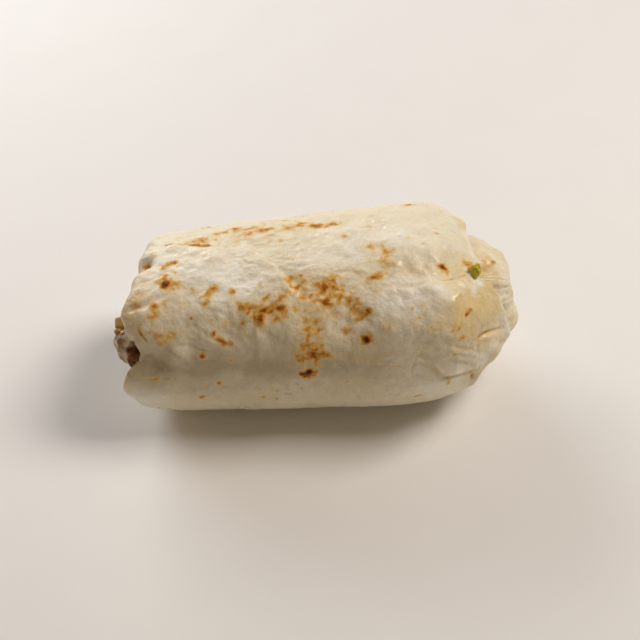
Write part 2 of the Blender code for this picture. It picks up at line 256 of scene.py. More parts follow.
def mouth_ring(angles):
    """The lip of the mouth."""
    turn = np.radians(angles)
    return np.stack([
        (eased(LEFT_EDGE, angles, 360) + eased(MOUTH_SINK, angles, 360)) * MM,
        MOUTH_Y + MOUTH_HALF_WIDTH * np.cos(turn),
        MOUTH_Z + MOUTH_HALF_HEIGHT * np.sin(turn),
    ], axis=1)


def left_face(angles):
    """Rings from the end of the wall, round the corner and in to the lip of the mouth."""
    edge = eased(LEFT_EDGE, angles, 360) * MM
    start = wall(np.full_like(angles, LEFT_WALL_END), angles)
    corner = wall(np.full_like(angles, LEFT_WALL_END - 7 * MM), angles)
    corner[:, 0] = edge - CORNER_PUSH
    lip = mouth_ring(angles)
    rings = []
    for share in np.linspace(0, 1, FACE_RINGS + 1)[1:]:
        first, second, third = (1 - share) ** 2, 2 * CORNER_WEIGHT * share * (1 - share), share**2
        rings.append((first * start + second * corner + third * lip) / (first + second + third))
    return rings


def hollow_rings(angles, face):
    """The inside of the tortilla near the mouth, closed off a little way in."""
    rings = []
    for x in np.linspace(HOLLOW_DEPTH, LEFT_WALL_END, HOLLOW_RINGS):
        place = np.full_like(angles, x)
        y, z = section(place, angles, inset=WALL)
        rings.append(np.stack([place, y, np.maximum(z, WALL)], axis=1))
    start = rings[-1]
    edge = eased(LEFT_EDGE, angles, 360) * MM
    mouth = mouth_ring(angles)
    for share, behind in INNER_FACE:
        point = start * (1 - share) + mouth * share
        outside = edge * (1 - share) + mouth[:, 0] * share
        point[:, 0] = np.minimum(outside + behind * MM, LEFT_WALL_END - 1 * MM)
        rings.append(point)
    inner, outer = rings[-1], face[-1]
    centre = np.array([0, MOUTH_Y, MOUTH_Z])
    for turn in LIP_TURNS:
        share = (1 - math.cos(math.radians(turn))) / 2
        point = inner * (1 - share) + outer * share
        inward = centre - point
        inward[:, 0] = 0
        inward /= np.linalg.norm(inward, axis=1)[:, None]
        rings.append(point + inward * LIP_SWELL * math.sin(math.radians(turn)))
    return rings


def bulge_ring(groove, angles, share):
    """A ring of the bulge, a share of the way from the groove to its tip, with its small second lobe."""
    turn = share * math.pi / 2
    pole = np.array([BULGE_TIP, BULGE_Y, BULGE_Z])
    point = pole + (groove - pole) * math.cos(turn) ** BULGE_POWER
    even = eased(BULGE_START, angles, 360) * MM
    start = groove[:, 0] + (even - groove[:, 0]) * ease(share / BULGE_EVEN)
    point[:, 0] = start + (BULGE_TIP - start) * math.sin(turn)
    away = np.hypot(point[:, 1] - LOBE_Y, point[:, 2] - LOBE_Z) / LOBE_WIDTH
    lobe = LOBE_X + LOBE_LENGTH * np.sqrt(np.clip(1 - away**2, 0, 1))
    point[:, 0] = np.where(away < 1, np.maximum(point[:, 0], lobe), point[:, 0])
    return point


def right_end(angles):
    """Rings over the rounded rim, down into the groove behind it and out over the bulge."""
    edge = eased(RIGHT_EDGE, angles, 360) * MM
    rim = wall(edge, angles)
    middle = np.array([0, rim[:, 1].mean(), rim[:, 2].mean()])
    inward = middle - rim
    inward[:, 0] = 0
    inward /= np.linalg.norm(inward, axis=1)[:, None]
    rings = []
    for turn in np.linspace(0, 180, RIM_RINGS + 2)[1:]:
        turn = math.radians(turn)
        point = rim + inward * SHEET * (1 - math.cos(turn)) / 2
        point[:, 0] = edge + RIM_SWELL * math.sin(turn)
        rings.append(point)
    lip = rings[-1]
    groove = lip + inward * (eased(GROOVE_INSET, angles, 360) * MM)[:, None]
    groove[:, 0] = edge - RIM_SINK
    for share in np.linspace(0, 1, GROOVE_RINGS + 1)[1:]:
        rings.append(lip * (1 - share) + groove * share)
    for share in np.linspace(0.03, 0.97, BULGE_RINGS):
        rings.append(bulge_ring(groove, angles, share))
    return rings, np.array([BULGE_TIP, BULGE_Y, BULGE_Z])


def column_angles():
    """Angles of the columns, closer together on the front and top than underneath."""
    fine = np.arange(0, 361)
    density = 1 + 1.1 * ease((fine - 30) / 25) * ease((245 - fine) / 25)
    total = np.concatenate([[0], np.cumsum((density[1:] + density[:-1]) / 2)])
    return np.interp(np.arange(COLUMNS) / COLUMNS * total[-1], total, fine)


def grid_normals(grid):
    """Outward unit normals of a grid of rings."""
    along = np.gradient(grid, axis=0)
    padded = np.concatenate([grid[:, -1:], grid, grid[:, :1]], axis=1)
    round_it = (padded[:, 2:] - padded[:, :-2]) / 2
    normal = np.cross(along, round_it)
    return normal / (np.linalg.norm(normal, axis=2)[:, :, None] + 1e-12)


def place_on_roll(x, angle):
    """A point on the skin, with the directions along the roll, round it and out of it."""
    step = 0.4
    point = wall(np.array([x * MM]), np.array([float(angle)]))[0]
    ahead = wall(np.array([x * MM]), np.array([float(angle) + step]))[0]
    round_it = ahead - point
    round_it /= np.linalg.norm(round_it)
    along = np.array([1.0, 0, 0])
    return point, along, round_it, np.cross(along, round_it)


# ---------------- toasted spots and creases
# Toasted spots: (x in mm, angle, half length in mm, half width in mm, turn in degrees, strength).
SPOTS = (
    (-59.5, 109, 2.6, 2.4, 40, 0.46), (-60.5, 112, 1.1, 1.2, 20, 0.42), (-57, 108, 3, 3, 20, 0.14),
    (-58, 93, 3.4, 1.2, -20, 0.36), (-55, 96, 1, 1, 0, 0.29), (-61, 97, 1, 0.9, 0, 0.32),
    (-64.4, 126, 1.6, 3.3, -12, 0.44), (-60, 123, 1, 1.2, 0, 0.24), (-60, 143, 4.2, 1.8, 6, 0.40),
    (-62.6, 148, 2.6, 1.6, 0, 0.2), (-42.7, 117, 2.6, 2.2, -30, 0.32), (-44.4, 126, 1.6, 2, 20, 0.3),
    (-50.2, 134, 0.5, 0.5, 0, 0.59), (-42.2, 136, 0.5, 0.5, 0, 0.59), (-34.2, 120, 1.3, 1.8, 0, 0.36),
    (-28.5, 130, 4.6, 1.9, 10, 0.40), (-22.5, 132, 4, 2.6, 0, 0.26), (-24.5, 138, 3.2, 2.4, 20, 0.36),
    (-16, 136, 3.0, 2.4, 0, 0.34), (-20, 134, 6, 3.6, 0, 0.14), (-36.4, 139, 2.3, 1.5, 20, 0.36),
    (-31, 139, 1.4, 1.2, 0, 0.32), (-39.2, 148, 3, 1.3, 50, 0.43), (-41.5, 143, 1.4, 0.8, -30, 0.29),
    (-46.9, 157, 1.2, 1.2, 0, 0.68), (-6.6, 156, 2.8, 3.6, 10, 0.38), (-9.5, 161, 3, 3.6, 0, 0.2),
    (-2.5, 160, 3, 3.4, 0, 0.26), (-6.6, 173.5, 2.3, 1.9, 0, 1.2), (-41.2, 181, 1.1, 1.1, 0, 0.72),
    (-35.4, 174, 0.9, 0.8, 0, 0.22), (-18.4, 188, 1.6, 1, 20, 0.24), (-6, 142, 3, 3.2, 0, 0.26),
    (-15.6, 126, 1.3, 2.4, 20, 0.29), (-23.7, 117, 0.9, 1.2, 0, 0.25), (-11.6, 117, 3.6, 2.6, 0, 0.22),
    (-7.6, 121, 3, 3.0, 20, 0.26), (-1, 119, 4, 2.0, 8, 0.3), (0, 120, 1.4, 1.2, 0, 0.12),
    (3, 129, 5, 3.6, -10, 0.17), (9.6, 130, 3.4, 2.6, 30, 0.2), (1.5, 72, 4.6, 1.2, 8, 0.45),
    (10, 86, 1.4, 1.1, 10, 0.43), (19, 98, 3.0, 1.6, 0, 0.2), (24.5, 106, 2.4, 3.2, 0, 0.2),
    (19.2, 119, 3, 1.8, 0, 0.32), (19.7, 127, 1.8, 1.2, 0, 0.22), (14.9, 139, 1.7, 1.2, 10, 0.62),
    (15.4, 153, 1.7, 1.9, -20, 0.72), (8.6, 148, 2.2, 1.8, 0, 0.24), (32.4, 138, 0.9, 0.8, 0, 0.24),
    (12.4, 166, 3.4, 1.4, 10, 0.18), (27.7, 172, 0.9, 0.7, 0, 0.29), (29.6, 174, 0.45, 0.45, 0, 0.43),
    (45.7, 115, 1.8, 2.1, 0, 0.6), (45.4, 85, 1.2, 0.5, 0, 0.36), (45.4, 90, 1.2, 0.6, 0, 0.36),
    (42.9, 91, 0.4, 0.4, 0, 0.36), (39.2, 99, 1, 0.7, 0, 0.22), (36.4, 58, 2.2, 0.9, 0, 0.36),
    (20.4, 69, 1.2, 0.8, 0, 0.25), (32.2, 83, 0.9, 0.7, 0, 0.25), (18.9, 80, 3, 0.8, 0, 0.2),
    (54, 142, 2.2, 1.2, 0, 0.36), (53.3, 144, 0.6, 0.6, 0, 0.36), (47.4, 151, 0.8, 0.7, 0, 0.4),
    (50.7, 157, 1.0, 0.8, 0, 0.22), (48.7, 166, 1.4, 1.2, 0, 0.32), (41.7, 146, 2.2, 1.6, 0, 0.12),
    (36.2, 202, 1.6, 0.6, 0, 0.36), (-50.7, 74, 1.6, 0.9, 0, 0.43), (-44.4, 72, 3.4, 2.6, 0, 0.27),
    (-39.4, 64, 2.4, 1.6, 0, 0.26), (-43.9, 50, 3.6, 1.2, 0, 0.29), (-32.9, 63, 2.6, 1.2, 0, 0.23),
    (-26.4, 66, 2.2, 1, 0, 0.23), (-22.7, 70, 3.6, 0.9, 0, 0.26), (-28.7, 76, 1.4, 0.9, 0, 0.26),
    (-18.4, 77, 1.6, 0.8, 0, 0.22), (-15.1, 83, 1, 0.9, 0, 0.36), (-19, 82, 1, 0.8, 0, 0.29),
    (-12.4, 71, 2, 0.8, 0, 0.22), (-12.6, 60, 2.6, 1, 0, 0.22), (-3.6, 52, 5, 1.2, 0, 0.26),
    (-4.4, 67, 3.6, 1, 0, 0.22), (-10.9, 99, 0.7, 0.9, 0, 0.22), (-11, 102, 0.5, 0.6, 0, 0.25),
    (-47.4, 193, 1.1, 0.5, 0, 0.32), (-50.5, 191, 0.6, 0.4, 0, 0.25), (-64.7, 173, 1.5, 0.7, -50, 0.43),
)
# The filling that shows: centres, sizes and roughness (height, size) in mm, and how square.
LUMP = ((-73.2, -16.6, 37.3), (17, 15.8, 13.2), ((0.9, 7), (0.45, 2.4)), 2.3)
CORE = ((-58, -12.5, 39), (26, 33, 24), ((1.2, 7), (0.5, 2.5)), 2.4)
SLAB = ((-70.4, -10.8, 43.2), (22, 5.2, 3.6), ((0.18, 3),), 6)
# Small bits in the mouth: how many, how far out to the lip, mm behind it, sizes in mm, shares of looks.
MORSELS, MORSEL_REACH, MORSEL_SINK, MORSEL_SIZE = 34, (0.55, 0.88), (1.6, 4.0), (3.0, 6.0)
MORSEL_LOOKS = (0.34, 0.26, 0.2, 0.1, 0.1)
# Looks of the bits after the lump's own: (name, colours, roughness, subsurface).
MORSEL_COLOURS = (
    ("morsel_pale", ((0.46, 0.33, 0.19), (0.62, 0.50, 0.34)), 0.35, 0.2),
    ("morsel_brown", ((0.10, 0.028, 0.010), (0.24, 0.085, 0.03)), 0.28, 0.1),
    ("morsel_green", ((0.05, 0.075, 0.008), (0.20, 0.24, 0.03)), 0.3, 0.1),
    ("morsel_orange", ((0.38, 0.15, 0.025), (0.60, 0.32, 0.08)), 0.3, 0.2),
)
# The green bit in the notch: (x in mm, angle), sizes, roughness, turns in degrees, how square.
PEPPER_PLACE, PEPPER_SINK = (58.3, 116.5), 0.3
PEPPER = ((3.0, 4.2, 7.4), ((0.8, 2.6), (0.25, 1.1)), (24, 12, 30), 3.2)
# Glossy orange bits on the lump (x, y, z, size in mm).
GLISTENING = (
    (-79.6, -14.6, 42.4, 4.2), (-77.2, -16.6, 42.9, 4.2), (-78.6, -11.6, 41.6, 3.4),
    (-75, -18, 42.6, 3.6), (-79.4, -18.0, 40.6, 3.6),
)
# Dark bits of sauce between the lump and the lip, partly painted shade of the recess (x, y, z, size in mm).
SAUCE_AND_SHADE_BITS = (
    (-74.2, -23.4, 40.6, 5), (-73.6, -24.6, 36.8, 5.4), (-74.6, -22.6, 33.4, 5), (-72, -25.4, 39.0, 5),
)
# Wide faint browning: (x in mm, angle, half length in mm, half width in mm, turn, strength)
TINTS = (
    (-12, 127, 12, 5, 0, 0.13), (3, 133, 11, 7, 10, 0.18), (-56, 117, 5, 6, 30, 0.16),
    (-57, 134, 5, 4, 0, 0.07), (-44, 90, 2, 6, -25, 0.14), (-8, 158, 8, 7, 0, 0.12),
    (-46, 150, 7, 4, 0, 0.10), (-30, 160, 6, 3, 0, 0.08), (22, 108, 6, 9, 0, 0.10),
    (40, 116, 12, 2.6, 0, 0.12), (33, 146, 20, 4, 8, 0.12), (50, 148, 8, 6, 0, 0.07),
    (-30, 69, 18, 5, 0, 0.22), (4, 66, 14, 4, 0, 0.1), (-66, 100, 5, 5, 0, 0.12),
    (-72, 112, 4, 6, 0, 0.11), (45, 176, 8, 5, 0, 0.05), (57, 108, 3.2, 3.0, 0, 0.36),
    (6, 114, 10, 6, 0, 0.08), (-72, 128, 4, 8, 0, 0.12), (58, 160, 7, 5, 0, 0.12),
    (20, 195, 34, 5, 0, 0.08), (-40, 196, 26, 4, 0, 0.07), (55, 200, 8, 8, 0, 0.06),
    (16, 160, 10, 8, 0, 0.1),
)
# Browned marks on the bulge (x, y, z, size in mm, strength).
BULGE_MARKS = (
    (65, 0.4, 58.5, 1.2, 0.32), (66.5, -2.5, 56.6, 1.5, 0.26), (68, 2.5, 56.5, 2.0, 0.22),
    (67.5, -5.5, 56, 1.6, 0.24), (70, -4, 54, 2.2, 0.2), (66, -1.5, 57, 2.6, 0.22),
    (69, 1, 56, 1.3, 0.22), (63, -4, 58, 1.4, 0.2), (69, -12.5, 53.5, 2.4, 0.30),
    (71.5, -9.5, 53, 2.6, 0.26), (71.5, -12.5, 50.5, 1.8, 0.46), (66, -12.5, 57, 2.0, 0.18),
    (75, -11, 44, 2.2, 0.22), (73, 12, 50, 5, 0.14), (76, 6, 44, 5, 0.12), (70, 25, 36, 4, 0.30),
    (74, 18, 24, 3, 0.34), (77, 6, 20, 2.6, 0.26), (72, -6, 14, 3, 0.3), (78, 14, 38, 3.4, 0.22),
    (76, 20, 44, 2.2, 0.32), (78.5, 4, 34, 4, 0.14),
)
# Random spots: (seed, count, angles, x from and to, half lengths, strengths), on the front and the back.
RANDOM_SPOTS = (
    (5, 60, (45, 235), (-66, 58), (0.4, 1.3), (0.12, 0.34)),
    (6, 70, (-120, 42), (-66, 56), (0.8, 3.6), (0.2, 0.8)),
    (7, 16, (-110, 40), (-58, 50), (5, 11), (0.08, 0.16)),
)
# The browned nook in the far corner of the left face (x, y, z in mm, size in mm, strength).
NOOK, NOOK_SIZE, NOOK_STRENGTH = (-67.6, 0.6, 62.2), 1.7, 0.46
# Oily patches (their colour partly painted shade) and patches of painted shade: (x in mm, angle, half
# length in mm, half width in degrees).
OILY_SHOULDER, OILY_EDGE, OILY_LOBE = (54, 134, 13, 24), (59, 148, 6, 10), (61, 147, 6, 9)
OILY_RIM_X, OILY_RIM_LENGTH = 61, 8
PAINTED_SHADE_LOBE, PAINTED_SHADE_FRONT, PAINTED_SHADE_FOLD = (57, 155, 8, 10), (-42, 184, 16, 8), (52, 172, 7, 7)
PAINTED_SHADE_CORNER = (-72, 126, 5, 14)
PAINTED_SHADE_BAND, PAINTED_SHADE_ABOVE = (168, 13), (148, 14)
# Where flour lies thickest, and where lit ridges and slopes are painted lighter as painted light: (x in mm,
# angle, half length in mm, half width in mm, turn, strength)
FLOURED_AND_LIT = (
    (-70, 190, 8, 7, 0, 0.9), (52, 205, 10, 8, 0, 0.8), (-42, 108, 14, 9, 0, 0.8),
    (-30, 116, 9, 6, 0, 0.7), (-60, 100, 7, 8, 0, 0.6), (-64, 128, 5, 5, 0, 0.7),
    (4, 103, 10, 5, 0, 0.5), (30, 136, 14, 8, 0, 0.9), (52, 128, 9, 5, 0, 0.9), (12, 142, 8, 5, 0, 0.6),
    (42, 141, 5, 3, 0, 0.7), (48, 135, 5, 3, 0, 0.8), (55, 128, 5, 3, 0, 0.9), (59, 123, 3, 3, 0, 0.6),
    (58, 176, 9, 7, 0, 0.7), (46, 192, 10, 8, 0, 1.0), (-36, 152, 12, 5, 0, 0.4),
    (26, 92, 14, 6, 0, 0.6), (-52, 165, 8, 6, 0, 0.3), (-30, 10, 16, 9, 0, 0.6),
    (20, -10, 16, 9, 0, 0.6), (60, 40, 10, 10, 0, 0.5),
)
# Creases: depth in mm (negative for a ridge), width in mm, how stained, and the places along them,
# as (x in mm, angle) or (x, y, z in mm).
# The stain of a crease is partly real stain and partly painted shade in the fold.
CREASES = (
    (1.1, 0.55, 0.34, ((-68.5, 62), (-64, 72), (-60, 74), (-52, 77), (-45, 79.5), (-39, 81), (-33, 84))),
    (1.2, 1.3, 0.10, ((-75, -20.3, 58.6), (-71.4, -20.3, 60.4), (-68, -20.2, 61.2), (-64, -18.6, 62.6))),
    (0.9, 0.7, 0.55,
     ((-70.8, -25.3, 56.6), (-70, -27.1, 54.3), (-68.6, -28.4, 52.4), (-67.6, -29.4, 50.8))),
    (0.4, 0.6, 0.38, ((-73, -33.6, 36), (-68.7, -33.9, 35.5), (-64, -34.2, 34.8), (-58.3, -34.8, 33))),
    (0.45, 0.9, 0.28, ((57, 119), (52, 121.5), (47, 123.5), (43, 124.5))),
    (0.3, 1.2, 0.10, ((44, 124), (38, 125.5), (32, 126.5), (25, 125.5), (20, 127))),
    (0.5, 0.6, 0.22, ((37.5, 158), (35.5, 164), (34, 170), (33, 176), (33.5, 186))),
    (1.7, 1.1, 0.12, ((36, 170), (39, 173), (42, 178), (45, 183), (50, 186), (57, 193), (60, 196))),
    (-1.3, 0.9, 0.0, ((35.9, 165), (38.5, 168), (42.2, 174), (45.5, 179))),
    (1.6, 0.9, 0.2, ((58.4, 168), (59, 163), (61.7, 160.5), (65.5, 163), (70, 167))),
    (-0.8, 0.9, 0.0, ((60.5, 166), (63.4, 165.5), (66.6, 165))),
    (-0.9, 2.2, 0.0, ((40, 142), (46, 137), (52, 131), (58, 125))),
    (0.5, 0.6, 0.5, ((47, 183), (48, 189), (47.5, 195))),
    (0.6, 0.7, 0.5, ((57.5, 190), (58.2, 198), (58.6, 205))),
    (0.6, 0.7, 0.10, ((42, 157), (48, 160), (54, 166), (60, 175))),
    (0.35, 0.5, 0.08, ((44, 163), (50, 167), (56, 174), (60, 182))),
    (0.6, 0.7, 0.10, ((46, 170), (51, 174), (56, 181), (59, 189))),
    (0.3, 0.5, 0.30, ((12, 196), (14, 204))),
    (0.45, 0.5, 0.12, ((-31, 92), (-29.5, 97), (-27.5, 101), (-24, 104))),
    (0.35, 0.45, 0.05, ((-33.5, 90), (-31, 95), (-29, 99))),
    (0.35, 0.5, 0.10, ((-17, 99), (-12, 102), (-7, 101), (-2, 103))),
    (0.35, 0.5, 0.05, ((-15, 105), (-9, 107), (-3, 106), (3, 109))),
    (0.35, 0.5, 0.05, ((-4, 112), (2, 114), (9, 113), (14, 116))),
    (0.5, 0.8, 0.06, ((-6, 128), (-1, 130.5), (4, 128.5), (10, 131), (17, 130))),
    (0.4, 0.7, 0.05, ((-52, 138), (-47, 141), (-43, 147), (-38, 150), (-33, 156))),
    (0.4, 0.7, 0.05, ((-56, 150), (-50, 151), (-44, 155), (-38, 163))),
    (0.4, 0.9, 0.04, ((-48, 124), (-44, 130), (-39, 133), (-33, 134))),
    (1.3, 1.2, 0.10, ((-72, 4, 46), (-71, 12, 52), (-70, 20, 55), (-67, 27, 54))),
    (1.1, 1.1, 0.10, ((-73, 3, 36), (-72.5, 12, 30), (-71, 22, 22), (-68, 29, 16))),
    (0.9, 1.0, 0.06, ((-73, -2, 29), (-71.5, 4, 20), (-69, 10, 11), (-66, 14, 6))),
)
# Dents and swellings of the skin: (x, y, z, height and size, all in mm).
LUMPS = (
    (-67.4, 0.8, 62.2, -2.0, 2.6), (-69.0, -23.2, 59.2, 1.0, 3.0), (-65.5, -22.5, 60.4, 0.8, 3.2),
    (-66, -31, 47, -1.7, 5.5), (-61, -32.5, 43, -1.1, 6), (-57.5, -32.5, 47.5, 0.9, 4.0),
    (-53, -33.3, 45.5, 0.7, 4.5), (-75, -31, 36, 1.0, 5), (-47, -24, 62, 0.7, 5),
    (-38, -29, 58, -0.6, 5), (-50, -20, 64.5, -0.5, 5), (-44, -31, 54, 0.6, 6), (-30, -33, 55, 0.5, 7),
    (-22, -26, 64, 0.6, 6), (8, -30, 62, -0.5, 7), (22, -28, 66, 0.6, 7), (36, -33, 60, 0.6, 7),
    (47, -33, 57, 0.7, 5), (52, -33, 50, -0.5, 4), (62, -8, 62, 0.9, 4), (69, 2, 56, 0.9, 4.5),
    (73, 12, 48, 0.8, 5), (66, 16, 56, -0.8, 4), (75, 8, 50, -0.7, 3), (77, -8, 40, 0.6, 3),
    (74, -12, 42, -0.8, 2.5),
)


def spot_strength(points, spots, warp):
    """How toasted each point is, from 0 to over 1."""
    total = np.zeros(len(points))
    for x, angle, length, width, turn, strength in spots:
        centre, along, round_it, outward = place_on_roll(x, angle)
        away = points - centre
        near = np.abs(away).max(axis=1) < 3 * max(length, width) * MM
        away = away[near]
        u, v, w = away @ along, away @ -round_it, away @ outward
        turn = math.radians(turn)
        u, v = u * math.cos(turn) - v * math.sin(turn), u * math.sin(turn) + v * math.cos(turn)
        reach = np.sqrt((u / length) ** 2 + (v / width) ** 2 + (w / (length + width) * 1.2) ** 2) / MM
        reach = reach + warp[near] * 0.55 * min(1, max(0.35, (length + width) / 6))
        heart, halo = np.exp(-np.clip(reach, 0, 4) ** 2 * 0.9), ease((2.6 - reach) / 1.8)
        strong = strength * (0.95 * heart + 0.16 * halo)
        total[near] = total[near] + strong * (1 - 0.35 * np.clip(total[near], 0, 1))
    return total


def crease_fields(points, creases, wobble):
    """Depth of the creases at each point, in metres, and how stained it is: partly real stain, partly
    painted shade in the fold.
    """
    depth = np.zeros(len(points))
    stain_and_shade = np.zeros(len(points))
    for deep, width, stained_and_shaded, path in creases:
        share = np.linspace(0, len(path) - 1, 14 * len(path))
        sides = [np.interp(share, range(len(path)), side) for side in zip(*path)]
        if len(sides) == 3:
            line = np.stack(sides, axis=1) * MM
        else:
            line = wall(sides[0] * MM, sides[1])
        fade = np.sin(np.pi * np.clip(share / (len(path) - 1), 0.06, 0.94)) ** 0.6
        low, high = line.min(axis=0) - 4 * MM, line.max(axis=0) + 4 * MM
        near = np.all((points > low) & (points < high), axis=1)
        moved = points[near] + wobble[near]
        apart = np.linalg.norm(moved[:, None] - line[None], axis=2)
        closest = apart.argmin(axis=1)
        away = apart[np.arange(len(closest)), closest]
        shape = np.exp(-((away / (width * MM)) ** 2)) * fade[closest]
        depth[near] += deep * MM * shape
        stain_and_shade[near] += stained_and_shaded * shape
    return depth, stain_and_shade


def lump_field(points, lumps):
    """How far the dents and swellings push each point out, in metres."""
    total = np.zeros(len(points))
    for x, y, z, height, size in lumps:
        away = np.linalg.norm(points / MM - (x, y, z), axis=1)
        total += height * MM * np.exp(-((away / size) ** 2))
    return total


def random_spots(seed, count, angles, reach, size, strength):
    """Small random spots between two angles and two places along the roll."""
    dice = np.random.default_rng(seed)
    made = []
    for _ in range(count):
        length = dice.uniform(*size)
        made.append((dice.uniform(*reach), dice.uniform(*angles), length, length * dice.uniform(0.5, 1),
                     dice.uniform(0, 180), dice.uniform(*strength)))
    return made


# ---------------- materials
# Skin colours: bare flour, thick flour (also the painted highlight), greasy cream, oil (partly painted
# shade), dark flecks, painted shade, browning by heat.
FLOUR_WHITE, FLOUR_DULL, FLOUR_WARM = (0.83, 0.765, 0.625), (0.68, 0.575, 0.395), (0.75, 0.60, 0.345)
THICK_FLOUR_AND_HIGHLIGHT = (0.88, 0.835, 0.725)
CREAM, OIL_AND_SHADE, FLECK = (0.84, 0.755, 0.56), (0.70, 0.515, 0.185), (0.60, 0.43, 0.20)
PAINTED_SHADE_COLOUR = (0.46, 0.36, 0.21)
FLOOR_DARK, FLOOR_PALE = (0.80, 0.78, 0.755), (0.83, 0.81, 0.785)
BROWNING = (
    (0.03, (0.80, 0.67, 0.44)), (0.12, (0.76, 0.56, 0.27)), (0.24, (0.69, 0.41, 0.115)),
    (0.37, (0.55, 0.235, 0.032)), (0.52, (0.31, 0.09, 0.009)), (0.76, (0.06, 0.010, 0.0015)),
)


def material(name):
    """A new node material with helpers to add nodes."""
    made = bpy.data.materials.new(name)
    made.use_nodes = True
    tree = made.node_tree
    shader = tree.nodes["Principled BSDF"]
    return made, tree, shader


def wire(tree, socket, target):
    """Feeds a socket into another."""
    tree.links.new(socket, target)


def noise(tree, coordinates, scale, detail=3.0, roughness=0.55, distortion=0.0):
    node = tree.nodes.new("ShaderNodeTexNoise")
    node.inputs["Scale"].default_value = scale
    node.inputs["Detail"].default_value = detail
    node.inputs["Roughness"].default_value = roughness
    node.inputs["Distortion"].default_value = distortion
    wire(tree, coordinates, node.inputs["Vector"])
    return node.outputs["Fac"]


def math_node(tree, operation, *values):
    node = tree.nodes.new("ShaderNodeMath")
    node.operation = operation
    for index, value in enumerate(values):
        if isinstance(value, (int, float)):
            node.inputs[index].default_value = value
        else:
            wire(tree, value, node.inputs[index])
    return node.outputs[0]


def spread(tree, value, low, high, out_low=0.0, out_high=1.0):
    """Maps a value from low..high to out_low..out_high, clamped."""
    node = tree.nodes.new("ShaderNodeMapRange")
    for name, number in (("From Min", low), ("From Max", high), ("To Min", out_low), ("To Max", out_high)):
        node.inputs[name].default_value = number
    wire(tree, value, node.inputs["Value"])
    return node.outputs["Result"]


def mix(tree, share, first, second):
    """A colour between two, by share."""
    node = tree.nodes.new("ShaderNodeMix")
    node.data_type = "RGBA"
    for name, value in (("Factor", share), ("A", first), ("B", second)):
        kind = "VALUE" if name == "Factor" else "RGBA"
        target = [socket for socket in node.inputs if (socket.name, socket.type) == (name, kind)][0]
        if isinstance(value, (int, float)):
            target.default_value = value
        elif isinstance(value, tuple):
            target.default_value = (*value, 1)
        else:
            wire(tree, value, target)
    return [socket for socket in node.outputs if socket.type == "RGBA"][0]


def ramp(tree, value, stops):
    """A colour from (place, colour) stops."""
    node = tree.nodes.new("ShaderNodeValToRGB")
    elements = node.color_ramp.elements
    while len(elements) > 1:
        elements.remove(elements[-1])
    elements[0].position = stops[0][0]
    elements[0].color = (*stops[0][1], 1)
    for place, colour in stops[1:]:
        elements.new(place).color = (*colour, 1)
    wire(tree, value, node.inputs["Fac"])
    return node.outputs["Color"]


def attribute(tree, name):
    """A number stored at the points of the mesh."""
    node = tree.nodes.new("ShaderNodeAttribute")
    node.attribute_name = name
    return node.outputs["Fac"]


def bump(tree, height, strength, distance, under=None):
    node = tree.nodes.new("ShaderNodeBump")
    node.inputs["Strength"].default_value = strength
    node.inputs["Distance"].default_value = distance
    wire(tree, height, node.inputs["Height"])
    if under is not None:
        wire(tree, under, node.inputs["Normal"])
    return node.outputs["Normal"]


